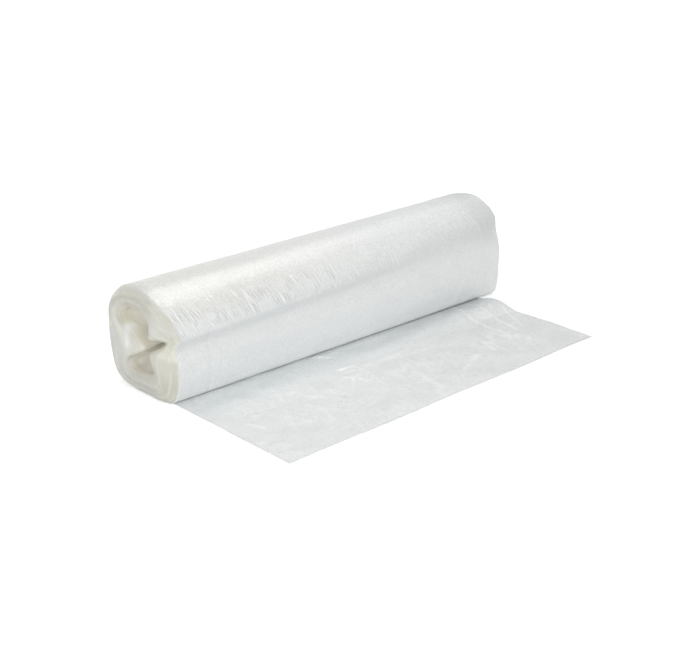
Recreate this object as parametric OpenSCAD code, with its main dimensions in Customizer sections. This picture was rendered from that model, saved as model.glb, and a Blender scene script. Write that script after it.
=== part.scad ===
// Coreless roll of thin film bags, at rest on its flattened underside with its tail pulled out.
// The turns are one continuous web. Its centre has collapsed into a three-armed hollow.
// X runs along the roll, the tail lies towards -Y, and Z is up.
// The origin is on the floor, under the middle of the part's outline. Millimetres.

/* [Roll] */
// Width of the film, which is the length of the roll
roll_len = 307; // [150:1:600]
// Depth of the roll, from its front to its back
roll_w = 75; // [50:0.5:110]
// Height of the roll at its far end, where it is fullest
roll_h = 74; // [50:0.5:110]
// How far the back of the near end has slipped out beyond its front
end_slip = 4; // [0:0.25:10]
// Depth of the crease along the front, at the near end
crease = 1.5; // [0:0.1:3]
// How open the collapsed centre is at the near end, where 1 is as it lies
hollow_open = 1; // [0.6:0.02:1]
// How open it still is at the far end
hollow_far_open = 0.72; // [0.5:0.02:1]
// How open it stays inside, where the turns press together
hollow_waist = 0.22; // [0.15:0.01:0.5]
// Depth of the valley between the upper and the lower lobe, on the near end
valley = 3; // [0:0.1:5]

/* [Turns] */
// Turns that show at each end, each a bundle of the real film's turns
turns = 7; // [3:1:9]
// Depth of the groove between two turns
groove = 1.2; // [0.3:0.1:2.5]
// How far single turns stand in or out of their neighbours
stagger = 0.7; // [0:0.1:1.5]
// Rounding of the near end's front rim, which is crisp
near_rim_front = 1.5; // [0.5:0.25:6]
// Rounding of the near end's back rim, where the film curls over
near_rim_back = 7; // [2:0.5:14]
// Rounding of the far end's rim at the top
far_rim_top = 6; // [2:0.5:14]
// Rounding of the far end's rim at the floor
far_rim_floor = 7.5; // [2:0.5:16]
// Rounding of the turns that roll over into the hollow
hollow_rim = 7; // [1:0.25:8]

/* [Tail] */
// Length of the tail's torn edge
tail_w = 281; // [120:1:560]
// How far the tail's near edge lies in from the roll's near end
tail_inset = 6; // [4:0.5:20]
// How far the tail reaches out from the roll
tail_reach = 111; // [40:1:300]
// Thickness of the tail, a folded bag with air in its folds
film = 0.5; // [0.3:0.05:1.5]
// Height of the fold that lifts beside the far end of the roll
lift = 4.6; // [0:0.2:10]
// Distance from the roll to the top of that fold
lift_from = 22; // [12:1:35]
// Height of the pleat that runs out from the roll to the torn edge
pleat = 0.8; // [0:0.1:2]
// Where that pleat lies, as a share of the tail's width
pleat_share = 0.85; // [0.6:0.01:0.9]
// How far the torn edge wanders
edge_wave = 1; // [0:0.1:3]

/* [Hidden] */

// Outline of the near end, from the front of the floor contact over the top and back underneath.
// The points are shares of the roll's depth and height. The outline sinks in at share 0.53.
NEAR = [
    [0.105, 0], [0.03, 0.16], [0.01, 0.365], [0.02, 0.53], [0, 0.65],
    [0.105, 0.785], [0.285, 0.89], [0.5, 0.95], [0.75, 0.9], [0.935, 0.73],
    [1, 0.51], [0.975, 0.27], [0.85, 0.06], [0.6, 0], [0.335, 0]
];
// Outline of the far end, fuller at the front of the top, point for point the same.
FAR = [
    [0.06, 0], [0.005, 0.13], [0, 0.34], [0.01, 0.515], [0.03, 0.66],
    [0.065, 0.825], [0.205, 0.945], [0.41, 1], [0.7, 0.925], [0.91, 0.755],
    [1, 0.52], [0.965, 0.27], [0.82, 0.055], [0.58, 0], [0.335, 0]
];
// The hollow, whose cleft, upper pocket and lower pocket part three soft lobes of turns.
// Behind each end it narrows to its waist.
HOLLOW = [
    [0.375, 0.19], [0.35, 0.255], [0.40, 0.37], [0.24, 0.455], [0.24, 0.52],
    [0.40, 0.49], [0.35, 0.62], [0.485, 0.73], [0.67, 0.72], [0.785, 0.61],
    [0.65, 0.515], [0.48, 0.39], [0.65, 0.265], [0.625, 0.17], [0.47, 0.165]
];
hollow_mid = [0.43, 0.43];
// The valley runs on from the cleft, from the middle of the near end to its front.
VALLEY = [[0.43, 0.45], [0, 0.585]];

knots = len(NEAR);
columns = 4 * knots;  // stations round the section
rings = 14;  // sections along the roll and its tail, between the ends
hollow_neck = [14, 22];  // distance over which the hollow narrows behind the near and the far end
neck_steps = 3;  // sections along each neck of the hollow
rows = 12;  // stations across the tail, from the roll to the torn edge
ply_marks = [0, 0.3, 0.7];  // marks across one turn: its groove, then both edges of its crown
marks = len(ply_marks) * (turns + 1) + 1;  // marks across the wall, from the hollow to the outside
outer_share = 0.5;  // share of the wall that the outer rims round over
inner_share = 0.45;  // share of the wall that rolls over into the hollow
stagger_angle = 137.5;  // degrees of the stagger's wave in each turn
lift_span = 20;  // half the width of the lifted fold
lift_fades = 0.55;  // share of the tail's width over which the fold runs out
slip_share = 0.3;  // share of the roll's depth over which the near end slips out
crease_high = [0.545, 0.77];  // shares of height of the front's crease, at the near and the far end
crease_climb = 1.3;  // how late along the roll the crease climbs, as a power
crease_fades = 0.6;  // share of the crease's depth that is left at the far end
crease_half = [4, 9];  // half the width of the crease, at the near and the far end
valley_half = 3.5;  // half the width of the valley
valley_grows = 0.3;  // share of the valley's length over which it sinks in from the middle
valley_ends = 0.5;  // share of its depth that is left at the front
crease_share = 0.2;  // share of the roll's depth over which the crease dies out, seen from the front
rim_share = 0.5;  // share of the near end's height over which its back rim reaches its full rounding
pleat_half = 2;  // half the width of the pleat
pleat_run = 35;  // distance from the roll over which the pleat grows
edge_waves = 2.5;  // waves along the torn edge

contact = NEAR[0].x * roll_w;  // the roll's front leaves the floor here, and the tail starts
hollow_rings = 2 * neck_steps;  // sections along the hollow, between the ends

function mix(a, b, f) = a + (b - a) * f;
function part(f) = min(1, max(0, f));
function soft(f) = let (g = part(f)) g * g * (3 - 2 * g);
function middle(list) = (min(list) + max(list)) / 2;
function in_mm(share) = [share.x * roll_w, share.y * roll_h];

// How far a quarter-round of this size has fallen back at f of its way
function fall(size, f) = size * (1 - sqrt(1 - part(f) * part(f)));

// A closed smooth curve through points p, where t counts the points
function curve(p, t) =
    let (n = len(p), i = floor(t), f = t - i)
    let (a = p[(i + n - 1) % n], b = p[i % n], c = p[(i + 1) % n], d = p[(i + 2) % n])
    b + f / 2 * (c - a + f * (2 * a - 5 * b + 4 * c - d + f * (3 * (b - c) + d - a)));

// How open the hollow is at v along the roll
function open_at(v) = hollow_waist
    + (hollow_open - hollow_waist) * (1 - soft(v * roll_len / hollow_neck[0]))
    + (hollow_far_open - hollow_waist) * (1 - soft((1 - v) * roll_len / hollow_neck[1]));

// Shares of depth and height at column j, s of the way through the wall and v along the roll
function section(j, s, v) =
    let (t = j / columns * knots)
    let (outer = mix(curve(NEAR, t), curve(FAR, t), v))
    let (inner = mix(hollow_mid, curve(HOLLOW, t), open_at(v)))
    mix(inner, outer, s);

// How far the near end sinks in at a point of the section, between its upper and its lower lobe
function valley_at(share) =
    let (from = in_mm(VALLEY[0]), way = in_mm(VALLEY[1]) - from, off = in_mm(share) - from)
    let (along = part(off * way / (way * way)), away = norm(off - along * way) / valley_half)
    valley * soft(along / valley_grows) * mix(1, valley_ends, soft(2 * along - 1)) * exp(-away * away);

// How deep the crease along the front is at a point of the outside
function crease_at(share, v) =
    let (high = mix(crease_high[0], crease_high[1], pow(v, crease_climb)))
    let (away = (share.y - high) * roll_h / mix(crease_half[0], crease_half[1], v))
    crease * mix(1, crease_fades, v) * exp(-away * away) * (1 - soft(share.x / crease_share));

// A point of the roll at x. The first column stands on the tail, and the rest on the floor.
function place(j, s, v, x) =
    let (share = section(j, s, v))
    [x, share.x * roll_w + s * crease_at(share, v), max(j == 0 ? film : 0, share.y * roll_h)];

// Sections along the roll, with three of them at the tail's pleat
function station(i) =
    let (half = pleat_half / tail_w, left = round((rings - 2) * pleat_share))
    i <= left ? (pleat_share - half) * i / left
        : i == left + 1 ? pleat_share
        : mix(pleat_share + half, 1, (i - left - 2) / (rings - 1 - left));

// Sections along the hollow, close together where it narrows
function hollow_station(i) =
    i <= neck_steps ? i / neck_steps * hollow_neck[0] / roll_len
        : 1 - (2 * neck_steps + 1 - i) / neck_steps * hollow_neck[1] / roll_len;

// Thickness of turn k at phase f of the round. The first turn grows from nothing and the last runs out.
function ply(k, f) = k == 0 ? f : k == turns ? 1 - f : 1;

// How far through the wall a mark lies, c across turn k at phase f of the round
function wall_share(k, f, c) = min(1, (max(0, k - 1 + f) + c * ply(k, f)) / turns);

// How far turn k stands out at phase f, less in its groove
function relief(k, f, in_groove) =
    ply(k, f) * (stagger * sin(stagger_angle * (k + f)) - (in_groove ? groove : 0));

// The turns' edges at one end, at column j and mark m, where side 0 is near and side 1 is far
function end_point(j, m, side) =
    let (f = j / columns, k = floor(m / len(ply_marks)), c = m % len(ply_marks))
    let (s = k > turns ? 1 : wall_share(k, f, ply_marks[c]))
    let (share = section(j, s, side))
    let (rim = side == 0
        ? mix(near_rim_front, near_rim_back, share.x * min(1, share.y / rim_share))
        : mix(far_rim_floor, far_rim_top, share.y))
    let (depth = stagger + end_slip * (side == 0 ? 1 - soft(share.x / slip_share) : share.x)
        + (side == 0 ? valley_at(share) : 0)
        + fall(rim, (s - 1 + outer_share) / outer_share)
        + fall(hollow_rim, (inner_share - s) / inner_share)
        - (s == 0 || s == 1 ? 0 : relief(k, f, c == 0)))
    place(j, s, side, side == 0 ? depth : roll_len + end_slip - depth);

// A section's point between the ends, v along the roll, in the hollow where s is 0 and outside where s is 1
function side_point(j, s, v) =
    let (m = s * (marks - 1))
    place(j, s, v, mix(end_point(j, m, 0).x, end_point(j, m, 1).x, v));

// Height of the tail's underside, v along its width and at a distance from the roll
function tail_rise(v, out) =
    lift * soft((v - 1 + lift_fades) / lift_fades) * (1 - soft(abs(out - lift_from) / lift_span))
    + (v == pleat_share ? pleat * soft(out / pleat_run) : 0);

// A point of the tail's underside, or of its top, at row q
function tail_point(q, top, v) =
    let (edge = tail_reach - edge_wave * (1 + sin(360 * edge_waves * v)) / 2)
    let (out = edge * q / rows)
    [tail_inset + tail_w * v, contact - out, tail_rise(v, out) + (top ? film : 0)];

function not_flat(tri) = tri[0] != tri[1] && tri[1] != tri[2] && tri[0] != tri[2];
function quad(a, b, c, d) = [for (tri = [[a, b, c], [a, c, d]]) if (not_flat(tri)) tri];

// One closed skin: both ends' spirals, the hollow, and the outermost turn, which leaves as the tail
module bag_roll() {
    end_points = [
        for (side = [0, 1], j = [0:columns - 1], m = [0:marks - 1]) end_point(j, m, side)
    ];
    hollow_points = [
        for (i = [1:hollow_rings], j = [0:columns - 1]) side_point(j, 0, hollow_station(i))
    ];
    outer_points = [
        for (i = [1:rings], j = [0:columns - 1]) side_point(j, 1, station(i))
    ];
    tail_points = [
        for (i = [0:rings + 1], top = [false, true], q = [1:rows]) tail_point(q, top, station(i))
    ];
    points = concat(end_points, hollow_points, outer_points, tail_points);
    hollow_first = len(end_points);
    outer_first = hollow_first + len(hollow_points);
    tail_first = outer_first + len(outer_points);

    // After a full round each mark meets the next turn's, and the first turn starts at nothing
    turn = len(ply_marks);
    function end_at(side, j, m) = side * columns * marks
        + (j == 0 ? max(m, turn) : j < columns ? j * marks + m : max(min(m + turn, marks - 1), turn));
    function hollow_at(i, j) = i == 0 ? end_at(0, j, 0)
        : i > hollow_rings ? end_at(1, j, 0)
        : hollow_first + (i - 1) * columns + j % columns;
    function outer_at(i, j) = i == 0 ? end_at(0, j, marks - 1)
        : i > rings ? end_at(1, j, marks - 1)
        : outer_first + (i - 1) * columns + j % columns;
    // The tail's rows count from the last column underneath, and on top from the first
    function tail_at(i, q, top) = q == 0 ? outer_at(i, top ? 0 : columns - 1)
        : tail_first + (2 * i + (top ? 1 : 0)) * rows + q - 1;

    ends = [
        for (j = [0:columns - 1], m = [0:marks - 2]) each concat(
            quad(end_at(0, j, m), end_at(0, j + 1, m), end_at(0, j + 1, m + 1), end_at(0, j, m + 1)),
            quad(end_at(1, j, m), end_at(1, j, m + 1), end_at(1, j + 1, m + 1), end_at(1, j + 1, m)))
    ];
    hollow = [
        for (j = [0:columns - 1], i = [0:hollow_rings])
            each quad(hollow_at(i, j), hollow_at(i + 1, j), hollow_at(i + 1, j + 1), hollow_at(i, j + 1))
    ];
    outside = [
        for (j = [0:columns - 2], i = [0:rings])
            each quad(outer_at(i, j), outer_at(i, j + 1), outer_at(i + 1, j + 1), outer_at(i + 1, j))
    ];
    tail = [
        for (i = [0:rings], q = [0:rows - 1]) each concat(
            quad(tail_at(i, q, true), tail_at(i + 1, q, true),
                tail_at(i + 1, q + 1, true), tail_at(i, q + 1, true)),
            quad(tail_at(i, q, false), tail_at(i, q + 1, false),
                tail_at(i + 1, q + 1, false), tail_at(i + 1, q, false)))
    ];
    tail_edges = [
        for (i = [0:rings]) each quad(tail_at(i, rows, true), tail_at(i + 1, rows, true),
            tail_at(i + 1, rows, false), tail_at(i, rows, false)),
        for (q = [0:rows - 1]) each concat(
            quad(tail_at(0, q, true), tail_at(0, q + 1, true),
                tail_at(0, q + 1, false), tail_at(0, q, false)),
            quad(tail_at(rings + 1, q, true), tail_at(rings + 1, q, false),
                tail_at(rings + 1, q + 1, false), tail_at(rings + 1, q + 1, true)))
    ];
    x_mid = middle([for (p = points) p.x]);
    y_mid = middle([for (p = points) p.y]);
    color([0.88, 0.9, 0.9]) translate([-x_mid, -y_mid, 0])
        polyhedron(points, concat(ends, hollow, outside, tail, tail_edges), convexity = 10);
}

bag_roll();
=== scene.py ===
"""The looks of a coreless roll of thin film bags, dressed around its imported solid.

Sizes are in metres, apart from the tables that say millimetres.
"""
import math

import bpy
import numpy as np
from mathutils import Euler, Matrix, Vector, noise


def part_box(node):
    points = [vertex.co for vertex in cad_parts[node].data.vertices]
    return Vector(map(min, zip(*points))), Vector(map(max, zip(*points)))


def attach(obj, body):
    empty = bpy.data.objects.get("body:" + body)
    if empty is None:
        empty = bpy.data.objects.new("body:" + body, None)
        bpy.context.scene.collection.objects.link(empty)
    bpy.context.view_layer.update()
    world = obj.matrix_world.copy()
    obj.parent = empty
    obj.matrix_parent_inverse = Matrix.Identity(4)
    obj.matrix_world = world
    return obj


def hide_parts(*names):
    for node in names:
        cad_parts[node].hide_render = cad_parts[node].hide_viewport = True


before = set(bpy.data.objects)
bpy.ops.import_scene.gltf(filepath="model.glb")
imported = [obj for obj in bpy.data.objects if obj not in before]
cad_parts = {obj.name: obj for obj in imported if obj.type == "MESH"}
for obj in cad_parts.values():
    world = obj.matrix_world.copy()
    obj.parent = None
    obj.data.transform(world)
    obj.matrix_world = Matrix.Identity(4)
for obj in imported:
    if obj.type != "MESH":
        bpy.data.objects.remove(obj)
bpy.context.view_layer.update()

LOW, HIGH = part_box("bag_roll")
MM = 0.001

# Driving sizes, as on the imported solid
ROLL_LEN = 307 * MM
ROLL_W = 75 * MM
ROLL_H = HIGH[2]
END_SLIP = 4 * MM
TAIL_W = 281 * MM
TAIL_REACH = 111 * MM
TAIL_INSET = 6 * MM

# Outlines of the section at both ends and of the collapsed hollow, in shares of depth and height.
# They run from the front of the floor contact over the top and back underneath.
NEAR = np.array([
    [0.105, 0], [0.03, 0.16], [0.01, 0.365], [0.02, 0.53], [0, 0.65],
    [0.105, 0.785], [0.285, 0.89], [0.5, 0.95], [0.75, 0.9], [0.935, 0.73],
    [1, 0.51], [0.975, 0.27], [0.85, 0.06], [0.6, 0], [0.335, 0],
])
FAR = np.array([
    [0.06, 0], [0.005, 0.13], [0, 0.34], [0.01, 0.515], [0.03, 0.66],
    [0.065, 0.825], [0.205, 0.945], [0.41, 1], [0.7, 0.925], [0.91, 0.755],
    [1, 0.52], [0.965, 0.27], [0.82, 0.055], [0.58, 0], [0.335, 0],
])
HOLLOW = np.array([
    [0.375, 0.19], [0.35, 0.255], [0.40, 0.37], [0.24, 0.475], [0.24, 0.51],
    [0.40, 0.49], [0.35, 0.62], [0.485, 0.73], [0.67, 0.72], [0.785, 0.61],
    [0.65, 0.515], [0.48, 0.39], [0.65, 0.265], [0.625, 0.17], [0.47, 0.165],
])
HOLLOW_MID = np.array([0.43, 0.43])
HOLLOW_OPEN = (1.0, 0.72)

# How open the hollow stays where its turns close behind the ends, and how far behind, near and far
HOLLOW_WAIST = 0.22
HOLLOW_NECK = (14 * MM, 22 * MM)

# The valley between the lobes, on the near end, from the middle to the front, in shares of the section:
# its depth and half width, the share of its way in which it comes in, and the depth left at the front
VALLEY = (np.array([0.43, 0.45]), np.array([0.0, 0.585]))
VALLEY_DEEP = 3 * MM
VALLEY_HALF = 3.5 * MM
VALLEY_IN = 0.3
VALLEY_FRONT = 0.5

# The dent along the front, near and far: height of its middle, how that rises, depth and half width
DENT_Z = (36.5 * MM, 53 * MM)
DENT_RISE = 1.85
DENT_DEEP = 2.4 * MM
DENT_HALF = (4.5 * MM, 9 * MM)

# How far back from the front the dent stays as deep, and over what way it and its painted shade then fade
DENT_FLAT = 4 * MM
DENT_FADE = 10 * MM
SHADE_FADE = 14 * MM

# The painted shade on the dent's upper side: how far up it lies in half widths of the dent, its own half
# width near and far, and its strength at the near end
SHADE_UP = 0.7
SHADE_HALF = (5 * MM, 11 * MM)
SHADE_NEAR = 0.75

# The low crest above the dent, on the near half of the roll
CREST_UP = 8 * MM
CREST_HIGH = 0.5 * MM
CREST_HALF = 3 * MM

# Fine folds across the roll: their size, how they lean, and their height outside and inside the gathers
FOLD_SIZE = (2.6 * MM, 26 * MM, 26 * MM)
FOLD_LEAN = 0.35
FOLD_HIGH = 0.06 * MM
GATHERED_HIGH = 0.14 * MM

# The gathers over the front: height of their middle, half width, reach from the front to the back,
# and where they come in and fade along the roll, from and over
GATHER_Z = 56 * MM
GATHER_HALF = 8 * MM
GATHER_REACH = 22 * MM
GATHER_IN = (8 * MM, 20 * MM)
GATHER_OUT = (90 * MM, 120 * MM)

# Folds that the film is pulled into by the far end: size, height, how their lines bend and lean,
# and where along the roll they come in, from and over
PULL_SIZE = (4 * MM, 30 * MM, 30 * MM)
PULL_HIGH = 0.28 * MM
PULL_MIDDLE = 40 * MM
PULL_BEND = 0.5
PULL_LEAN = 0.3
PULL_IN = (215 * MM, 50 * MM)

# Waves of the film all over the roll: size, height and seed
FILM_WAVES = [
    ((55 * MM, 22 * MM, 22 * MM), 0.45 * MM, 2),
    ((9 * MM, 9 * MM, 9 * MM), 0.10 * MM, 3),
    ((60 * MM, 5 * MM, 5 * MM), 0.12 * MM, 4),
]

# Rounding of the ends' rims, from front to back at the near end and from floor to top at the far end,
# the shares of the wall that it takes outside and by the hollow, and the share of the near end's depth
# in which that end slips back
NEAR_RIM = (1.5 * MM, 7 * MM)
FAR_RIM = (7.5 * MM, 6 * MM)
HOLLOW_RIM = 7 * MM
OUTER_SHARE = 0.5
INNER_SHARE = 0.45
SLIP_SHARE = 0.3

# The turns at the ends: how far bundles and single turns stand in or out, their grooves and ripples,
# and how far both ends' ripples lie apart in the noise
STAGGER = 0.7 * MM
BUNDLE_SHARE = 0.6
BUNDLE_TURNS = 2.7
BUNDLE_ANGLE = math.radians(137.5)
SINGLE_HIGH = 0.3 * MM
SINGLE_TURNS = 0.37
GROOVE = 0.35 * MM
RIPPLE_HIGH = 0.35 * MM
RIPPLE_SIZE = 7 * MM
RIPPLE_APART = 0.3

# Where the film has rolled over the end: rims from here, over this much more, hide the grooves,
# and they do so this much faster than the rim rounds
CURL_FROM = 3 * MM
CURL_OVER = 4 * MM
CURL_RISE = 1.6

# Share of the wall at which the outer film starts to show, at sharp and at round rims, which rims
# those are, from and over, and the share in which it comes in, with what rolled film adds to that
COVER_STARTS = (0.97, 0.55)
COVER_RIM = (2 * MM, 8 * MM)
COVER_SOFT = (0.03, 0.25)

# Painted glints on the lips of the hollow at the near end, by both ends of each in shares of the section,
# how strongly they are painted white, half their width, and how deep into the roll they go, from and over
LIP_GLINTS = [((0.70, 0.56), (0.65, 0.40)), ((0.365, 0.60), (0.385, 0.53)), ((0.395, 0.38), (0.38, 0.34)),
        ((0.35, 0.26), (0.355, 0.22))]
LIP_GLINT_PAINT = 0.7
LIP_GLINT_HALF = 2.2 * MM
LIP_GLINT_DEEP = (9 * MM, 3 * MM)

# The film that shows: how thick the tail is, how high the roll lies on it, and over what height it lifts
FILM = 0.3 * MM
SEAT = 0.6 * MM
SEAT_LIFT = 6 * MM
TAIL_TUCK = 30 * MM

# The fold that lifts the tail beside the far end: height, share of the width where it starts,
# distance of its top from the roll, and reach to either side
LIFT = 4.2 * MM
LIFT_FROM = 0.55
LIFT_OUT = 22 * MM
LIFT_REACH = 21 * MM

# Slack of the tail: size, height, what is added to the noise before its part above 0 is raised, and seed
TAIL_SLACK = [
    ((34 * MM, 24 * MM, 1), 1.3 * MM, 0.1, 11),
    ((11 * MM, 17 * MM, 1), 0.5 * MM, 0, 15),
]

# Where the tail is free of the roll, from and over, and its clearance from the floor
TAIL_FREE = (1 * MM, 8 * MM)
FLOOR_GAP = 0.05 * MM

# Relief of the tail: sizes and heights of its finest waves, its crinkles and its crushed patch,
# how the crinkles lean and sway, half their width in the noise, how their patches spread and fade,
# how steep the crushed facets are, and how strongly each form's painted highlight is whitened
FINE_SIZE = (6 * MM, 5 * MM, 1)
FINE_HIGH = 0.08 * MM
CRINKLE_HIGH = 0.45 * MM
CRINKLE_LEAN = 0.3
CRINKLE_SWAY = 5 * MM
CRINKLE_SWAY_SIZE = 40 * MM
CRINKLE_SIZE = (7 * MM, 45 * MM, 1)
CRINKLE_HALF = 0.22
CRINKLE_PATCHES = (44 * MM, 30 * MM, 1)
CRINKLE_MORE = 0.15
CRINKLE_SOFT = 0.5
CRINKLE_GLINT_PAINT = 0.7
CRUSHED_SIZE = (3 * MM, 2.6 * MM, 1)
CRUSHED_STEEP = 1.6
CRUSHED_HIGH = 0.8 * MM
CRUSHED_GLINT_PAINT = 0.8

# The tail's edges: depth and number of the torn one's slow waves, depth and size of its nicks,
# and how far and over what size the other two wander
TORN_WAVE = 0.45 * MM
TORN_WAVES = 2.5
TORN_NICK = 0.35 * MM
TORN_NICK_SIZE = 2.6 * MM
SIDE_WANDER = 0.35 * MM
SIDE_WANDER_SIZE = (TAIL_W / 9, 30 * MM, 1)

# Creases of the tail: both ends along it and out from the roll, half width and height, all in mm
CREASES = [
    ((252, 2), (242, 26), 0.9, 0.25), ((242, 26), (240, 47), 1.5, 0.9), ((240, 43), (238, 74), 1.8, 1.3),
    ((261, 20), (258, 42), 1.1, 0.2), ((258, 38), (252, 68), 1.3, 0.6), ((277, 31), (261, 65), 1.3, 0.3),
    ((217, 63), (212, 81), 1.4, 0.5), ((182, 61), (186, 79), 1.6, 0.5), ((186, 77), (200, 78), 1.6, 0.5),
    ((199, 77), (152, 97), 3.0, 0.5), ((150, 53), (142, 87), 3.5, 1.0), ((142, 66), (140, 100), 3.0, 0.9),
    ((63, 36), (66, 51), 1.6, 1.1), ((65, 49), (75, 58), 1.7, 1.2), ((13, 54), (18, 67), 1.3, 0.6),
    ((6, 98), (14, 107), 1.3, 0.5), ((112, 4), (124, 15), 1.5, 0.9), ((127, 39), (169, 39), 2.6, 0.3),
    ((107, 33), (121, 35), 1.3, 0.7), ((120, 34), (122, 47), 1.4, 0.9), ((122, 45), (116, 70), 1.4, 0.9),
    ((101, 44), (112, 52), 1.3, 0.7), ((83, 50), (90, 66), 1.3, 0.4), ((36, 60), (47, 78), 1.4, 0.4),
]

# How fast a crease rises from its ends and with what it starts there, how sharp it has to be for its
# painted highlight to be white all through, the half width of that highlight in shares of the crease's, and
# at least, in mm
CREASE_RISE = 5
CREASE_START = 0.25
CREASE_SHARP = 0.4
CREASE_GLINT_SHARE = 0.6
CREASE_GLINT_HALF = 1.0

# A crushed patch of the tail: its middle and its reach, along and out, in mm
CRUSHED = ((113, 48), (12, 13))

# How finely the pieces are meshed. The marks are the points across each turn, in shares of it.
TURNS = 20
MARKS = np.array([0, 0.3, 0.7])
COLUMNS = 204
RINGS = 290
HOLLOW_RINGS = 40
TAIL_COLUMNS = 400
TAIL_ROWS = 190

# Tints of the film on the roll: the tint, and between which places on which axes it comes in, in mm.
# They are painted shade over the far part, the near end's darker upper rim, a warm tint painted on the
# top's highlight and the near end's darker lower back.
LOW_BACK = [("z", 68, 50), ("y", 30, 60), ("z", 10, 28)]
FILM_SHADES = [
    # painted shade over the far part
    ((0.955, 0.955, 0.955), ("x", -20, 150)),
    ((0.90, 0.90, 0.90), ("x", -142, -151), ("z", 30, 44)),
    # warm tint painted on the highlight over the top, towards the near end
    ((0.985, 0.975, 0.93), ("x", 90, -140), ("z", 50, 60)),
    ((0.86, 0.86, 0.86), ("x", -147, -152), *LOW_BACK),
]
# Tint of the painted shade along the dent's upper side, at its full strength
DENT_PAINTED_SHADE = 0.90

# Painted shade over the film's upper part by the far end: where, how strong, and its colour
FAR_TOP_SHADE = [("x", 108, 146), ("z", 36, 54)]
FAR_TOP_SHADE_SHARE = 0.5
FAR_TOP_SHADE_COLOUR = (0.60, 0.605, 0.61)

# Tints of the cut edges, in the same way: painted light in the cleft, darker and yellower towards the top,
# darker towards the bottom, and yellower on the lower front
EDGE_SHADES = [
    # painted light in the cleft
    ((1.16, 1.16, 1.16), ("y", 38, 26), ("z", 46, 40), ("z", 27, 32)),
    ((0.915, 0.91, 0.88), ("z", 46, 60)),
    ((0.95, 0.945, 0.94), ("z", 22, 10)),
    ((0.975, 0.97, 0.92), ("y", 50, 22), ("z", 50, 38)),
]

# Warmth of the cut edges by the hollow and the turns over which it goes, the turns over which the
# lower back gets darker, and how many fine lines each turn shows
WARM = (1.0, 0.975, 0.935)
WARM_TURNS = (0.0, 9.0)
OUTER_TURNS = (6, 18)
OUTER_BACK_SHADE = 0.90
LINES_PER_TURN = 3.0

# Painted shade on the tail: over its far part, the roll's painted shadow on the strip by the roll towards
# the far end, and a cool painted shade by the roll
TAIL_PAINTED_SHADES = [
    ((0.87, 0.87, 0.87), ("x", -60, 150)),
    ((0.94, 0.94, 0.94), ("y", -30, 0), ("y", 24, 10), ("x", -30, 120)),
    ((0.975, 1.0, 1.005), ("y", -25, 5)),
]

# Where the film on the roll has its streaks, its arcs and its blotches, in mm
STREAKED = [("z", 44, 50), ("z", 66, 57), ("x", 90, -70), ("y", 40, 32)]
ARCED = [("x", 50, 110), ("z", 36, 52)]
BLOTCHED = [("z", 48, 62)]

# The middle part of a grain's range, which a tint is spread over
GRAIN_MIDDLE = (0.36, 0.64)

# Gloss and milkiness of the film on the roll, from one place along it to another in mm, of the cut edges
# and of the tail, and how deep light goes into them
SHEEN_ENDS = (-130.0, 120.0)
FILM_ROUGH = (0.27, 0.44)
EDGE_ROUGH = 0.2
TAIL_ROUGH = 0.28
FILM_MILKY = 0.1
EDGE_MILKY = 0.55
EDGE_RADIUS = (1.0, 0.97, 0.9)
EDGE_DEEP = 10 * MM
TAIL_DEEP = 1 * MM
FILM_IOR = 1.5
WHITE = (1.0, 1.0, 1.0)

# The floor: half its side, how far below the frame's floor it lies, its colour, its glow to the camera,
# and by how much that rises between two distances from the middle, in mm
FLOOR_HALF = 4.0
FLOOR_DROP = 0.1 * MM
FLOOR_COLOUR = (0.95, 0.95, 0.95)
FLOOR_GLOW = 0.38
GLOW_RISE = 0.3
GLOW_RISES = (350, 1500)

# Light from all round: its strength from the sides and from above, and its tint
AMBIENT = (0.30, 0.80)
AMBIENT_TINT = (0.99, 1.0, 1.0)

# The photograph's viewpoint: lens and sensor in mm, place from the tail's corner by the roll, and degrees
CAMERA_LENS = 67.28
SENSOR_WIDTH = 36
CAMERA_PLACE = (-0.4293, -0.6160, 0.3453)
CAMERA_TILT = 21.60
CAMERA_TURN = -43.29

# Knots of the outlines, marks per turn and points of an end, and places worked out from the frame
KNOTS = len(NEAR)
PER_TURN = len(MARKS)
LAST_MARK = PER_TURN * (TURNS + 1)
PER_END = COLUMNS * (LAST_MARK + 1)
START_X = LOW[0]
CONTACT_Y = LOW[1] + TAIL_REACH
FRONT_Y = CONTACT_Y - NEAR[0][0] * ROLL_W
TAIL_X = START_X + TAIL_INSET


def mix(a, b, f):
    return a + (b - a) * f


def soft(f):
    g = np.clip(f, 0, 1)
    return g * g * (3 - 2 * g)


def bump(distance, width):
    """One soft hump of height 1, about width to either side."""
    return np.exp(-(distance / width) ** 2)


def fall(size, f):
    """How far a quarter-round of this size has fallen back at f of its way."""
    g = np.clip(f, 0, 1)
    return size * (1 - np.sqrt(1 - g * g))


def closed_curve(points, t):
    """A closed smooth curve through the points, where t counts them."""
    n = len(points)
    i = np.floor(t).astype(int)
    f = (t - i)[..., None]
    a, b, c, d = (points[(i + k) % n] for k in (-1, 0, 1, 2))
    return b + f / 2 * (c - a + f * (2 * a - 5 * b + 4 * c - d + f * (3 * (b - c) + d - a)))


def hollow_open(v):
    """How open the hollow is at v along the roll. Its turns close behind each end."""
    near = (HOLLOW_OPEN[0] - HOLLOW_WAIST) * (1 - soft(v * ROLL_LEN / HOLLOW_NECK[0]))
    far = (HOLLOW_OPEN[1] - HOLLOW_WAIST) * (1 - soft((1 - v) * ROLL_LEN / HOLLOW_NECK[1]))
    return HOLLOW_WAIST + near + far


def section(t, s, v):
    """Shares of depth and height at t round the section, s through the wall and v along the roll."""
    outer = mix(closed_curve(NEAR, t), closed_curve(FAR, t), v[..., None])
    inner = mix(HOLLOW_MID, closed_curve(HOLLOW, t), hollow_open(v)[..., None])
    return mix(inner, outer, s[..., None])


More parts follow.
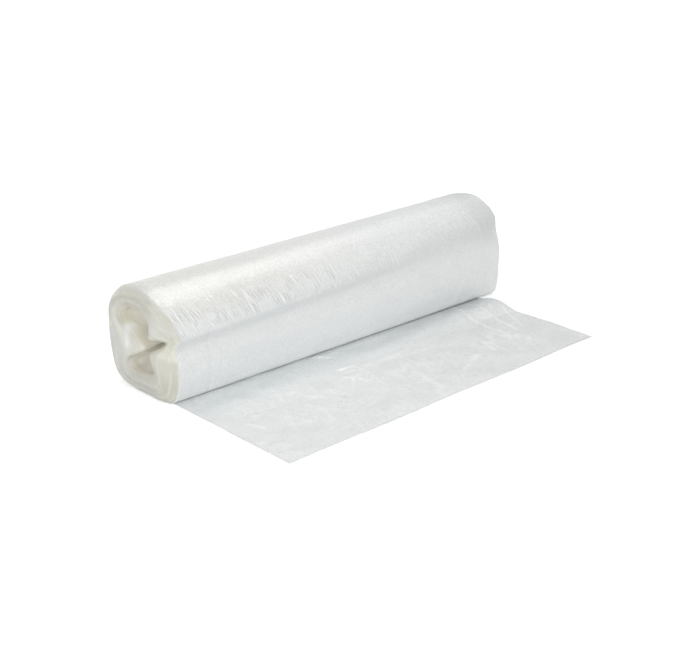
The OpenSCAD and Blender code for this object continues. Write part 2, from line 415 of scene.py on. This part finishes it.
def valley(back, high):
    """How far the near end sinks in between its upper and lower lobe, at shares of depth and height."""
    size = np.array([ROLL_W, ROLL_H])
    way = (VALLEY[1] - VALLEY[0]) * size
    off = np.stack([back, high], axis=-1) * size - VALLEY[0] * size
    share = np.clip(off @ way / (way @ way), 0, 1)
    distance = np.linalg.norm(off - share[..., None] * way, axis=-1)
    grows = soft(share / VALLEY_IN) * mix(1, VALLEY_FRONT, soft(2 * share - 1))
    return VALLEY_DEEP * grows * bump(distance, VALLEY_HALF)


def waves(points, scale, seed):
    """Smooth noise from about -1 to 1 at each point, with features about scale across."""
    shift = Vector((seed * 7.3, seed * 3.1, seed * 5.7))
    flat = np.asarray(points).reshape(-1, 3) / np.asarray(scale)
    values = [noise.noise(Vector(p) + shift) for p in flat]
    return np.array(values).reshape(np.shape(points)[:-1])


def new_mesh(name, points, faces, material, **shares):
    """A smooth mesh object. Each named share is a number per point that its material reads."""
    used = np.unique([i for face in faces for i in face])
    index = np.zeros(len(points), int)
    index[used] = np.arange(len(used))
    mesh = bpy.data.meshes.new(name)
    mesh.from_pydata(points[used].tolist(), [], [[int(index[i]) for i in face] for face in faces])
    mesh.materials.append(material)
    mesh.polygons.foreach_set("use_smooth", np.ones(len(faces), bool))
    for key, values in shares.items():
        mesh.attributes.new(key, "FLOAT", "POINT").data.foreach_set("value", values[used])
    mesh.update()
    obj = bpy.data.objects.new(name, mesh)
    bpy.context.collection.objects.link(obj)
    return obj


def outline_normal(t, v):
    """The outward direction of the outside at t, in depth and height."""
    step = 1e-3
    one = np.ones_like(t)
    along = (section(t + step, one, v) - section(t - step, one, v)) * np.array([ROLL_W, ROLL_H])
    normal = np.stack([-along[..., 1], along[..., 0]], axis=-1)
    return normal / np.linalg.norm(normal, axis=-1, keepdims=True)


def near_front(points, start, reach):
    """1 up to this far behind the front, and 0 beyond the reach."""
    return 1 - soft((points[..., 1] - FRONT_Y - start) / reach)


def along_roll(points):
    """Share of the roll's length, from the near end."""
    return np.clip((points[..., 0] - LOW[0]) / (HIGH[0] - LOW[0]), 0, 1)


def front_dent(points):
    """The dent along the front, and the low crest above it."""
    run = along_roll(points)
    above = points[..., 2] - mix(*DENT_Z, run ** DENT_RISE)
    dent = -DENT_DEEP * bump(above, mix(*DENT_HALF, run))
    crest = CREST_HIGH * bump(above - CREST_UP, CREST_HALF) * (1 - soft(2 * run))
    return (dent + crest) * near_front(points, DENT_FLAT, DENT_FADE)


def shade_of_dent(points):
    """Painted shade along the dent's upper side, from 0 to 1."""
    run = along_roll(points)
    middle = mix(*DENT_Z, run ** DENT_RISE) + SHADE_UP * mix(*DENT_HALF, run)
    shade = mix(SHADE_NEAR, 1, run) * bump(points[..., 2] - middle, mix(*SHADE_HALF, run))
    return near_front(points, DENT_FLAT, SHADE_FADE) * shade


def cross_folds(points):
    """Fine folds across the roll, higher where the film is gathered over the front."""
    x = points[..., 0] - LOW[0]
    gathered = bump(points[..., 2] - GATHER_Z, GATHER_HALF) * near_front(points, 0, GATHER_REACH)
    gathered = gathered * soft((x - GATHER_IN[0]) / GATHER_IN[1])
    gathered = gathered * (1 - soft((x - GATHER_OUT[0]) / GATHER_OUT[1]))
    leaning = points.copy()
    leaning[..., 0] += FOLD_LEAN * points[..., 2]
    return (FOLD_HIGH + GATHERED_HIGH * gathered) * waves(leaning, FOLD_SIZE, seed=1)


def pulled_folds(points):
    """Folds that bend round the roll, by its far end."""
    bent = points.copy()
    bent[..., 0] += PULL_BEND * np.abs(points[..., 2] - PULL_MIDDLE) + PULL_LEAN * points[..., 1]
    comes_in = soft((points[..., 0] - LOW[0] - PULL_IN[0]) / PULL_IN[1])
    return PULL_HIGH * waves(bent, PULL_SIZE, seed=7) * comes_in


def film_relief(points):
    """How far the outermost film stands out of its smooth form."""
    even = sum(height * waves(points, size, seed) for size, height, seed in FILM_WAVES)
    return front_dent(points) + cross_folds(points) + pulled_folds(points) + even


def pale_lips(points):
    """Painted glints on the near end's lips, from 0 to 1."""
    spot = points[..., 1:] - np.array([FRONT_Y, 0])
    pale = np.zeros(points.shape[:-1])
    for start, end in np.array(LIP_GLINTS) * np.array([ROLL_W, ROLL_H]):
        way = end - start
        share = np.clip((spot - start) @ way / (way @ way), 0, 1)
        distance = np.linalg.norm(spot - start - share[..., None] * way, axis=-1)
        pale = np.maximum(pale, LIP_GLINT_PAINT * bump(distance, LIP_GLINT_HALF))
    return pale * (1 - soft((points[..., 0] - START_X - LIP_GLINT_DEEP[0]) / LIP_GLINT_DEEP[1]))


def place(t, s, v, x):
    """Points of the roll in the row's frame."""
    share = section(t, s, v)
    y = FRONT_Y + share[..., 0] * ROLL_W
    z = SEAT + np.maximum(0, share[..., 1]) * (ROLL_H - SEAT)
    points = np.stack([x, y, z], axis=-1)
    out = film_relief(points) * s ** 3 * soft((z - SEAT) / SEAT_LIFT)
    normal = outline_normal(t, v)
    points[..., 1] += out * normal[..., 0]
    points[..., 2] = np.maximum(SEAT, points[..., 2] + out * normal[..., 1])
    return points


def rim_and_slip(side, back, high):
    """Rounding of an end's rim and how far its face stands back, at shares of depth and height."""
    if side == 0:
        rim = mix(*NEAR_RIM, np.clip(back * np.minimum(1, 2 * high), 0, 1))
        return rim, END_SLIP * (1 - soft(back / SLIP_SHARE)) + valley(back, high)
    return mix(*FAR_RIM, np.clip(high, 0, 1)), END_SLIP * back


def turns_relief(turn, v, groove):
    """How far the turns of an end stand out, where turn counts them from the hollow."""
    bundles = BUNDLE_SHARE * STAGGER * np.sin(BUNDLE_ANGLE * turn / BUNDLE_TURNS)
    around = np.stack([turn, v, v], axis=-1)
    single = SINGLE_HIGH * waves(around, (SINGLE_TURNS, 1, 1), seed=5)
    return bundles + single - np.where(groove, GROOVE, 0)


def end_face(side):
    """One end's points with their cover and ply, by column and mark. Side 0 is near and 1 is far."""
    j, m = np.meshgrid(np.arange(COLUMNS), np.arange(LAST_MARK + 1), indexing="ij")
    f, k, c = j / COLUMNS, m // PER_TURN, m % PER_TURN
    ply = np.where(k == 0, f, np.where(k == TURNS, 1 - f, 1))
    turn = np.maximum(0, k - 1 + f) + MARKS[c] * ply
    s = np.where(k > TURNS, 1, np.minimum(1, turn / TURNS))
    t, v = f * KNOTS, np.full(s.shape, float(side))
    back, high = np.moveaxis(section(t, s, v), -1, 0)
    rim, slip = rim_and_slip(side, back, high)
    outer = (s - 1 + OUTER_SHARE) / OUTER_SHARE
    curled = soft(outer * CURL_RISE) * soft((rim - CURL_FROM) / CURL_OVER)
    spot = np.stack([v * RIPPLE_APART, back * ROLL_W, high * ROLL_H], axis=-1)
    ripple = RIPPLE_HIGH * waves(spot, RIPPLE_SIZE, seed=6)
    inside = np.where((s <= 0) | (s >= 1), 0, ply)
    depth = (STAGGER + slip + fall(rim, outer) + fall(HOLLOW_RIM, (INNER_SHARE - s) / INNER_SHARE)
             - inside * (1 - curled) * turns_relief(k + f, v, c == 0) - (1 - s ** 4) * ripple)
    x = START_X + depth if side == 0 else START_X + ROLL_LEN + END_SLIP - depth
    starts = mix(*COVER_STARTS, soft((rim - COVER_RIM[0]) / COVER_RIM[1]))
    cover = soft((s - starts) / (COVER_SOFT[0] + COVER_SOFT[1] * curled))
    return place(t, s, v, x), x, cover, np.where(k > TURNS, TURNS, turn)


def end_at(side, j, m):
    """Number of an end's point, by column and mark. The last column goes on in the next turn's first."""
    if j == COLUMNS:
        j, m = 0, min(m + PER_TURN, LAST_MARK)
    return side * PER_END + (max(m, PER_TURN) if j == 0 else j * (LAST_MARK + 1) + m)


def ring_at(i, j, count, first, m):
    """Number of a point on ring i of a skin between the ends that has count rings and begins at first."""
    if i == 0 or i > count:
        return end_at(0 if i == 0 else 1, j, m)
    return first + (i - 1) * COLUMNS + j % COLUMNS


def strip(j, count, first, m):
    """Faces of one column of such a skin, which joins the points of mark m at both ends."""
    for i in range(count + 1):
        a, b = ring_at(i, j, count, first, m), ring_at(i, j + 1, count, first, m)
        c, d = ring_at(i + 1, j + 1, count, first, m), ring_at(i + 1, j, count, first, m)
        yield (a, d, c, b) if m == LAST_MARK else (a, b, c, d)


def roll_faces():
    """Faces of both ends, the outside and the hollow, each corner once."""
    outer_first = 2 * PER_END
    hollow_first = outer_first + RINGS * COLUMNS
    faces = []
    for j in range(COLUMNS):
        for m in range(LAST_MARK):
            a, b, c, d = end_at(0, j, m), end_at(0, j, m + 1), end_at(0, j + 1, m + 1), end_at(0, j + 1, m)
            faces.append((a, b, c, d))
            faces.append((d + PER_END, c + PER_END, b + PER_END, a + PER_END))
        faces.extend(strip(j, RINGS, outer_first, LAST_MARK))
        faces.extend(strip(j, HOLLOW_RINGS, hollow_first, 0))
    faces = [tuple(dict.fromkeys(face)) for face in faces]
    return [face for face in faces if len(face) > 2]


def rings(stations, s, near_x, far_x):
    """Points of a skin between the ends, where s is its place in the wall, at these stations."""
    v = np.broadcast_to(stations[:, None], (len(stations), COLUMNS))
    t = np.broadcast_to(np.arange(COLUMNS) / COLUMNS * KNOTS, v.shape)
    return place(t, np.full(v.shape, float(s)), v, mix(near_x, far_x, v))


def build_roll(material):
    """The wound turns as one closed skin: both ends, the outside and the hollow."""
    (near, near_x, near_cover, near_ply), (far, far_x, far_cover, far_ply) = end_face(0), end_face(1)
    even, packed = (np.arange(1, n + 1) / (n + 1) for n in (RINGS, HOLLOW_RINGS))
    outer = rings(even, 1, near_x[:, LAST_MARK], far_x[:, LAST_MARK])
    hollow = rings((1 - np.cos(math.pi * packed)) / 2, 0, near_x[:, 0], far_x[:, 0])
    points = np.concatenate([p.reshape(-1, 3) for p in (near, far, outer, hollow)])
    on_film, in_hollow = np.ones(RINGS * COLUMNS), np.zeros(HOLLOW_RINGS * COLUMNS)
    cover = np.concatenate([near_cover.ravel(), far_cover.ravel(), on_film, in_hollow])
    ply = np.concatenate([near_ply.ravel(), far_ply.ravel(), TURNS * on_film, in_hollow])
    # Besides cover and ply, the mesh carries the painted shade along the dent and the painted glints on the
    # lips
    return new_mesh("roll_turns", points, roll_faces(), material, cover=cover, ply=ply,
                    slack=shade_of_dent(points), pale=pale_lips(points))


def along_creases(along, out):
    """Height that the creases add to the tail, and how strongly their painted highlight whitens it."""
    height, sharp = np.zeros_like(along), np.zeros_like(along)
    for start, end, wide, tall in CREASES:
        way = np.subtract(end, start)
        du, dw = along / MM - start[0], out / MM - start[1]
        share = np.clip((du * way[0] + dw * way[1]) / (way @ way), 0, 1)
        distance = np.hypot(du - share * way[0], dw - share * way[1])
        ends = soft(np.minimum(share, 1 - share) * CREASE_RISE + CREASE_START)
        height += tall * MM * bump(distance, wide) * ends
        pale = bump(distance, max(CREASE_GLINT_HALF, CREASE_GLINT_SHARE * wide))
        sharp = np.maximum(sharp, pale * ends * min(1, tall / wide / CREASE_SHARP))
    return height, sharp


def crushed(along, out):
    """Small facets in the tail's crushed patch, from 0 to 1, where along and out are in metres."""
    (u, w), (reach_u, reach_w) = CRUSHED
    flat = np.stack([along, out, np.zeros_like(along)], axis=-1)
    distance = np.hypot((along / MM - u) / reach_u, (out / MM - w) / reach_w)
    return bump(distance, 1) * np.clip(CRUSHED_STEEP * waves(flat, CRUSHED_SIZE, seed=19), 0, 1)


def crinkles(along, out):
    """Thin folds that run out from the roll in patches, from 0 to 1, where along and out are in metres."""
    level = np.zeros_like(along)
    flat = np.stack([along, out, level], axis=-1)
    sway = CRINKLE_SWAY * waves(flat, CRINKLE_SWAY_SIZE, seed=16)
    bent = along + CRINKLE_LEAN * out + sway
    lines = waves(np.stack([bent, out, level], axis=-1), CRINKLE_SIZE, seed=17)
    patches = soft((waves(flat, CRINKLE_PATCHES, seed=18) + CRINKLE_MORE) / CRINKLE_SOFT)
    return np.maximum(0, 1 - np.abs(lines) / CRINKLE_HALF) * patches


def tail_height(along, out):
    """Height of the tail's underside, where along and out are in metres."""
    flat = np.stack([along, out, np.zeros_like(along)], axis=-1)
    lift = LIFT * soft((along / TAIL_W - LIFT_FROM) / (1 - LIFT_FROM))
    lift = lift * (1 - soft(np.abs(out - LIFT_OUT) / LIFT_REACH))
    free = soft((out - TAIL_FREE[0]) / TAIL_FREE[1])
    slack = sum(height * np.maximum(0, waves(flat, size, seed) + more)
                for size, height, more, seed in TAIL_SLACK)
    fine = FINE_HIGH * (1 + waves(flat, FINE_SIZE, seed=12))
    fine = fine + CRINKLE_HIGH * crinkles(along, out) + CRUSHED_HIGH * crushed(along, out)
    return FLOOR_GAP + lift + free * (slack + fine) + along_creases(along, out)[0]


def tail_points():
    """Points of the tail's underside by column and row, and how strongly each one's painted highlight
    whitens it.
    """
    ways = np.linspace(0, 1, TAIL_COLUMNS + 1), np.linspace(0, 1, TAIL_ROWS + 1)
    v, q = np.meshgrid(*ways, indexing="ij")
    along, level = v * TAIL_W, np.zeros_like(v)
    edge = TAIL_REACH - TORN_WAVE * (1 + np.sin(math.tau * TORN_WAVES * v))
    nicks = waves(np.stack([along, level, level], axis=-1), TORN_NICK_SIZE, seed=13)
    out = mix(-TAIL_TUCK, edge - TORN_NICK * np.abs(nicks), q)
    height = tail_height(along, np.maximum(out, 0))
    wander = SIDE_WANDER * waves(np.stack([along, out, level], axis=-1), SIDE_WANDER_SIZE, seed=14)
    x, y = TAIL_X + along + wander * (2 * v - 1), CONTACT_Y - out
    pale = np.maximum(along_creases(along, out)[1], CRINKLE_GLINT_PAINT * crinkles(along, out) ** 2)
    pale = np.maximum(pale, CRUSHED_GLINT_PAINT * crushed(along, out))
    return np.stack([x, y, height], axis=-1).reshape(-1, 3), pale.ravel()


def build_tail(material):
    """The loose tail, a closed thin sheet from under the roll to its torn edge."""
    low, pale = tail_points()
    count, row = len(low), TAIL_ROWS + 1
    faces = []
    for i in range(TAIL_COLUMNS):
        for k in range(TAIL_ROWS):
            a, b, c, d = i * row + k, i * row + k + 1, (i + 1) * row + k + 1, (i + 1) * row + k
            faces.append((a, d, c, b))
            faces.append((count + a, count + b, count + c, count + d))
    border = [i * row for i in range(TAIL_COLUMNS + 1)]
    border += [TAIL_COLUMNS * row + k for k in range(1, row)]
    border += [i * row + TAIL_ROWS for i in range(TAIL_COLUMNS - 1, -1, -1)]
    border += [k for k in range(TAIL_ROWS - 1, 0, -1)]
    for a, b in zip(border, border[1:] + border[:1]):
        faces.append((b, a, count + a, count + b))
    points = np.concatenate([low, low + np.array([0, 0, FILM])])
    return new_mesh("roll_tail", points, faces, material, crease=np.tile(pale, 2))


def rgba(colour):
    """A colour as a node takes it, unless it comes from another node."""
    return colour if isinstance(colour, bpy.types.NodeSocket) else (*colour, 1)


class Surface:
    """A material's nodes, added and linked by short calls. Textures read places in millimetres."""

    def __init__(self, name):
        self.material = bpy.data.materials.new(name)
        self.material.use_nodes = True
        self.tree = self.material.node_tree
        self.tree.nodes.clear()
        self.shader = self.node("ShaderNodeBsdfPrincipled")
        output = self.tree.nodes.new("ShaderNodeOutputMaterial")
        self.tree.links.new(self.shader.outputs[0], output.inputs["Surface"])
        where = self.node("ShaderNodeTexCoord").outputs["Object"]
        self.place = self.node("ShaderNodeVectorMath", {0: where, 1: (1 / MM,) * 3}, operation="MULTIPLY")
        self.place = self.place.outputs[0]
        self.axis = dict(zip("xyz", self.node("ShaderNodeSeparateXYZ", {0: self.place}).outputs))

    def feed(self, made, inputs):
        """Link each input of a node to a socket, or give it its value."""
        for key, value in inputs.items():
            if isinstance(value, bpy.types.NodeSocket):
                self.tree.links.new(value, made.inputs[key])
            else:
                made.inputs[key].default_value = value

    def node(self, kind, inputs=None, **settings):
        made = self.tree.nodes.new(kind)
        for key, value in settings.items():
            setattr(made, key, value)
        self.feed(made, inputs or {})
        return made

    def maths(self, operation, a, b=0.0):
        return self.node("ShaderNodeMath", {0: a, 1: b}, operation=operation).outputs[0]

    def product(self, first, *others):
        for other in others:
            first = self.maths("MULTIPLY", first, other)
        return first

    def total(self, first, *others):
        for other in others:
            first = self.maths("ADD", first, other)
        return first

    def stack(self, *layers):
        """The sum of layers, each one a share and its height."""
        return self.total(*(self.product(share, height) for share, height in layers))

    def share(self, value, low, high):
        """Where a value lies between two others, from 0 to 1, with soft ends."""
        inputs = {"Value": value, "From Min": low, "From Max": high}
        return self.node("ShaderNodeMapRange", inputs, interpolation_type="SMOOTHSTEP").outputs[0]

    def zone(self, *ranges):
        """From 0 to 1 where all ranges have come in. Each is an axis, its start and its end."""
        return self.product(*(self.share(self.axis[name], low, high) for name, low, high in ranges))

    def spot(self, x):
        """The place with another x."""
        inputs = {0: x, 1: self.axis["y"], 2: self.axis["z"]}
        return self.node("ShaderNodeCombineXYZ", inputs).outputs[0]

    def attribute(self, name):
        return self.node("ShaderNodeAttribute", attribute_name=name).outputs["Fac"]

    def grain(self, size, detail=2.0, rotation=(0, 0, 0), place=None):
        """Noise from 0 to 1 with features of this size, in millimetres along each axis."""
        scale = tuple(1 / side for side in size)
        inputs = {"Vector": place or self.place, "Scale": scale, "Rotation": rotation}
        spot = self.node("ShaderNodeMapping", inputs, vector_type="POINT").outputs[0]
        inputs = {"Vector": spot, "Scale": 1.0, "Detail": detail, "Roughness": 0.55}
        return self.node("ShaderNodeTexNoise", inputs).outputs["Fac"]

    def ridges(self, size, sharp, **settings):
        """Thin raised lines, from 0 to 1, where noise crosses its middle."""
        middle = self.maths("SUBTRACT", self.grain(size, **settings), 0.5)
        line = self.maths("SUBTRACT", 1.0, self.product(self.maths("ABSOLUTE", middle), sharp))
        return self.maths("MAXIMUM", line, 0.0)

    def blend(self, share, first, second):
        """A number that goes from the first to the second."""
        return self.node("ShaderNodeMix", {0: share, 2: first, 3: second}, data_type="FLOAT").outputs[0]

    def colours(self, share, first, second):
        """A colour that goes from the first to the second."""
        inputs = {0: share, 6: rgba(first), 7: rgba(second)}
        return self.node("ShaderNodeMix", inputs, data_type="RGBA").outputs[2]

    def times(self, colour, other):
        """One colour multiplied by another."""
        inputs = {0: 1.0, 6: colour, 7: other}
        return self.node("ShaderNodeMix", inputs, data_type="RGBA", blend_type="MULTIPLY").outputs[2]

    def tint(self, colour, value, low, high):
        """The colour times a grey that goes from low to high with the value."""
        return self.times(colour, self.colours(value, (low,) * 3, (high,) * 3))

    def shaded(self, colour, shades):
        """The colour times the tint of each shade where its ranges have come in."""
        for tint, *ranges in shades:
            colour = self.times(colour, self.colours(self.zone(*ranges), WHITE, tint))
        return colour

    def finish(self, colour, height, roughness, subsurface, radius, scale):
        """Set the shader. Height is in millimetres."""
        bumped = self.node("ShaderNodeBump", {"Strength": 1.0, "Distance": MM, "Height": height})
        self.feed(self.shader, {
            "Base Color": colour,
            "Normal": bumped.outputs[0],
            "Roughness": roughness,
            "Subsurface Weight": subsurface,
            "Subsurface Radius": radius,
            "Subsurface Scale": scale,
            "IOR": FILM_IOR,
        })
        return self.material


def film_colour(look):
    """Milky white with its tints, among them painted shade over the far part, along the dent and over the
    far end's top.
    """
    colour = look.colours(look.grain((14, 14, 14), detail=3), (0.80, 0.812, 0.815), (0.86, 0.868, 0.868))
    colour = look.shaded(colour, FILM_SHADES)
    # painted shade along the dent's upper side
    colour = look.tint(colour, look.attribute("slack"), 1.0, DENT_PAINTED_SHADE)
    # painted shade over the upper part by the far end
    far_top_shade = look.product(look.zone(*FAR_TOP_SHADE), FAR_TOP_SHADE_SHARE)
    return look.colours(far_top_shade, colour, FAR_TOP_SHADE_COLOUR)


def front_streaks(look):
    """Streaks that lean with the fine folds over the front, from 0 to 1, for their bump and their painted
    glints.
    """
    leaning = look.spot(look.total(look.axis["x"], look.product(look.axis["z"], FOLD_LEAN)))
    streaks = look.share(look.grain((1.25, 15, 15), detail=0.4, place=leaning), 0.44, 0.64)
    patches = look.share(look.grain((16, 9, 9)), 0.38, 0.56)
    return look.product(streaks, look.zone(*STREAKED), patches)


def bent_arcs(look):
    """Thin arcs along the folds that the film is pulled into by the far end, from 0 to 1."""
    off = look.maths("ABSOLUTE", look.maths("SUBTRACT", look.axis["z"], PULL_MIDDLE / MM))
    bent = look.total(look.axis["x"], look.product(off, PULL_BEND), look.product(look.axis["y"], PULL_LEAN))
    arcs = look.share(look.grain((2.2, 45, 45), detail=0.3, place=look.spot(bent)), 0.5, 0.7)
    patches = look.share(look.grain((14, 14, 14)), 0.45, 0.62)
    return look.product(arcs, look.zone(*ARCED), patches)


def blotches(look):
    """Coarse grain on the top, around one half."""
    coarse = look.share(look.grain((1.4, 1.4, 1.4), detail=2.0), *GRAIN_MIDDLE)
    coarse = look.product(look.maths("SUBTRACT", coarse, 0.5), look.zone(*BLOTCHED))
    return look.total(coarse, 0.5)


def film_on_roll(look):
    """Colour of the outermost film and the height of its crinkles."""
    crinkle = look.ridges((2.2, 3.5, 3.5), 3.0, detail=3.0)
    pebble = look.grain((0.8, 1.6, 1.6), detail=3.0)
    streaks, arcs = front_streaks(look), bent_arcs(look)
    colour = look.tint(film_colour(look), look.share(pebble, *GRAIN_MIDDLE), 0.955, 1.03)
    colour = look.tint(colour, blotches(look), 0.955, 1.04)
    colour = look.tint(colour, arcs, 1.0, 1.08)
    colour = look.tint(colour, crinkle, 0.985, 1.05)
    # painted glints along the streaks
    colour = look.colours(streaks, colour, WHITE)
    return colour, look.stack((streaks, 0.7), (crinkle, 0.10), (pebble, 0.14), (arcs, 0.3))


def cut_edges(look):
    """Waxy colour of the turns' cut edges at the ends, warmer towards the hollow, and their height."""
    ply = look.attribute("ply")
    colour = look.colours(look.grain((6, 6, 6), detail=2), (0.76, 0.757, 0.69), (0.84, 0.84, 0.795))
    colour = look.times(colour, look.colours(look.share(ply, *WARM_TURNS), WARM, WHITE))
    outer_back = look.product(look.share(ply, *OUTER_TURNS), look.zone(*LOW_BACK))
    colour = look.tint(colour, outer_back, 1.0, OUTER_BACK_SHADE)
    # painted light in the cleft among these tints
    colour = look.shaded(colour, EDGE_SHADES)
    lines = look.grain((1, 14, 14), detail=1.0, place=look.spot(look.product(ply, LINES_PER_TURN)))
    colour = look.tint(colour, look.share(lines, 0.34, 0.66), 0.94, 1.035)
    # painted glints on the lips of the hollow
    colour = look.colours(look.attribute("pale"), colour, WHITE)
    return colour, look.product(lines, 0.25)


def roll_material():
    """Milky film with fine crinkles on the outside, and waxy cut edges of its turns at the ends."""
    look = Surface("rolled_film")
    cover = look.attribute("cover")
    film, crinkled = film_on_roll(look)
    edges, lined = cut_edges(look)
    ends, rough = SHEEN_ENDS, FILM_ROUGH
    inputs = {0: look.axis["x"], 1: ends[0], 2: ends[1], 3: rough[0], 4: rough[1]}
    film_rough = look.node("ShaderNodeMapRange", inputs).outputs[0]
    return look.finish(
        look.colours(cover, edges, film),
        look.blend(cover, lined, crinkled),
        look.blend(cover, EDGE_ROUGH, film_rough),
        look.blend(cover, EDGE_MILKY, FILM_MILKY),
        EDGE_RADIUS,
        EDGE_DEEP,
    )


def tail_material():
    """The same film laid flat: fainter colour, and a fine crushed grain with a few sharp creases."""
    look = Surface("laid_film")
    colour = look.colours(look.grain((18, 14, 14), detail=3), (0.85, 0.862, 0.862), (0.885, 0.895, 0.895))
    # painted shade on the tail and the roll's painted shadow beside it
    colour = look.shaded(colour, TAIL_PAINTED_SHADES)
    crinkle = look.ridges((3.0, 2.2, 3.0), 3.0, detail=3.0, rotation=(0, 0, 0.5))
    crossing = look.ridges((2.2, 6.0, 3.0), 4.0, detail=2.0, rotation=(0, 0, -0.7))
    crossing = look.product(crossing, look.share(look.grain((26, 18, 10)), 0.4, 0.62))
    pebble = look.grain((1.0, 1.0, 1.0), detail=3.0)
    colour = look.tint(colour, look.share(pebble, *GRAIN_MIDDLE), 0.96, 1.03)
    colour = look.tint(colour, crossing, 0.99, 1.09)
    colour = look.tint(colour, crinkle, 0.975, 1.06)
    # painted highlights along the creases, crinkles and crushed facets
    colour = look.colours(look.attribute("crease"), colour, WHITE)
    height = look.stack((crinkle, 0.2), (pebble, 0.2), (crossing, 0.4))
    return look.finish(colour, height, TAIL_ROUGH, FILM_MILKY, WHITE, TAIL_DEEP)


def backdrop_material():
    """A white sweep that shows white to the camera and in reflections, and keeps the part's shadow."""
    look = Surface("white_sweep")
    path = look.node("ShaderNodeLightPath").outputs
    seen = look.maths("MAXIMUM", path["Is Camera Ray"], path["Is Glossy Ray"])
    seen = look.maths("MAXIMUM", seen, path["Is Transmission Ray"])
    away = look.node("ShaderNodeVectorMath", {0: look.place}, operation="LENGTH").outputs["Value"]
    level = look.total(look.product(look.share(away, *GLOW_RISES), GLOW_RISE), FLOOR_GLOW)
    look.feed(look.shader, {
        "Base Color": rgba(FLOOR_COLOUR),
        "Roughness": 0.9,
        "Specular IOR Level": 0.0,
        "Emission Color": rgba(WHITE),
        "Emission Strength": look.product(seen, level),
    })
    return look.material


def build_stage():
    """A wide white floor."""
    half, level = FLOOR_HALF, -FLOOR_DROP
    corners = [(-half, -half, level), (half, -half, level), (half, half, level), (-half, half, level)]
    floor = new_mesh("floor", np.array(corners), [(0, 1, 2, 3)], backdrop_material())


def build_world():
    """Even light from above, less of it from the sides, and plain white where it is seen or mirrored."""
    world = bpy.data.worlds.new("studio")
    bpy.context.scene.world = world
    world.use_nodes = True
    nodes, links = world.node_tree.nodes, world.node_tree.links
    nodes.clear()
    lit, seen = nodes.new("ShaderNodeBackground"), nodes.new("ShaderNodeBackground")
    lit.inputs["Color"].default_value = rgba(AMBIENT_TINT)
    split, level = nodes.new("ShaderNodeSeparateXYZ"), nodes.new("ShaderNodeMapRange")
    level.inputs["To Min"].default_value, level.inputs["To Max"].default_value = AMBIENT
    links.new(nodes.new("ShaderNodeTexCoord").outputs["Generated"], split.inputs[0])
    links.new(split.outputs["Z"], level.inputs["Value"])
    links.new(level.outputs[0], lit.inputs["Strength"])
    seen.inputs["Color"].default_value = rgba(WHITE)
    path, choice = nodes.new("ShaderNodeLightPath"), nodes.new("ShaderNodeMixShader")
    first, both = nodes.new("ShaderNodeMath"), nodes.new("ShaderNodeMath")
    first.operation = both.operation = "MAXIMUM"
    links.new(path.outputs["Is Camera Ray"], first.inputs[0])
    links.new(path.outputs["Is Glossy Ray"], first.inputs[1])
    links.new(first.outputs[0], both.inputs[0])
    links.new(path.outputs["Is Transmission Ray"], both.inputs[1])
    links.new(both.outputs[0], choice.inputs[0])
    links.new(lit.outputs[0], choice.inputs[1])
    links.new(seen.outputs[0], choice.inputs[2])
    links.new(choice.outputs[0], nodes.new("ShaderNodeOutputWorld").inputs["Surface"])


def build_lamp(name, place, target, size, watts, tint):
    """A soft rectangular lamp aimed at a point."""
    data = bpy.data.lights.new(name, "AREA")
    data.shape, data.size, data.size_y = "RECTANGLE", size[0], size[1]
    data.energy, data.color = watts, tint
    lamp = bpy.data.objects.new(name, data)
    lamp.location = place
    lamp.rotation_euler = (Vector(target) - Vector(place)).to_track_quat("-Z", "Y").to_euler()
    bpy.context.collection.objects.link(lamp)


def build_sun(name, towards, strength, spread, tint):
    """A broad even light from one side, spread degrees wide."""
    data = bpy.data.lights.new(name, "SUN")
    data.energy, data.color, data.angle = strength, tint, math.radians(spread)
    lamp = bpy.data.objects.new(name, data)
    lamp.rotation_euler = Vector(towards).to_track_quat("Z", "Y").to_euler()
    bpy.context.collection.objects.link(lamp)


def build_camera():
    """The photograph's viewpoint."""
    data = bpy.data.cameras.new("camera")
    data.lens, data.sensor_width = CAMERA_LENS, SENSOR_WIDTH
    data.sensor_fit = "HORIZONTAL"
    camera = bpy.data.objects.new("camera", data)
    along, out, up = CAMERA_PLACE
    camera.location = (TAIL_X + along, CONTACT_Y + out, up)
    camera.rotation_euler = Euler((math.radians(90 - CAMERA_TILT), 0, math.radians(CAMERA_TURN)))
    bpy.context.collection.objects.link(camera)
    bpy.context.scene.camera = camera


build_camera()
build_world()
build_stage()
build_lamp("left_glint", place=(-0.81, -0.22, 0.41), target=(-0.15, 0.02, 0.04), size=(0.08, 0.08),
           watts=0.8, tint=WHITE)
build_sun("key", towards=(0.55, 0.27, 0.79), strength=0.46, spread=9, tint=(1.0, 0.99, 0.96))
build_sun("front_fill", towards=(-0.30, -0.93, 0.18), strength=0.85, spread=40, tint=WHITE)

roll = build_roll(roll_material())
tail = build_tail(tail_material())
for piece in (roll, tail):
    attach(piece, "root")
    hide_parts("bag_roll")

bpy.context.scene.view_settings.view_transform = "Standard"
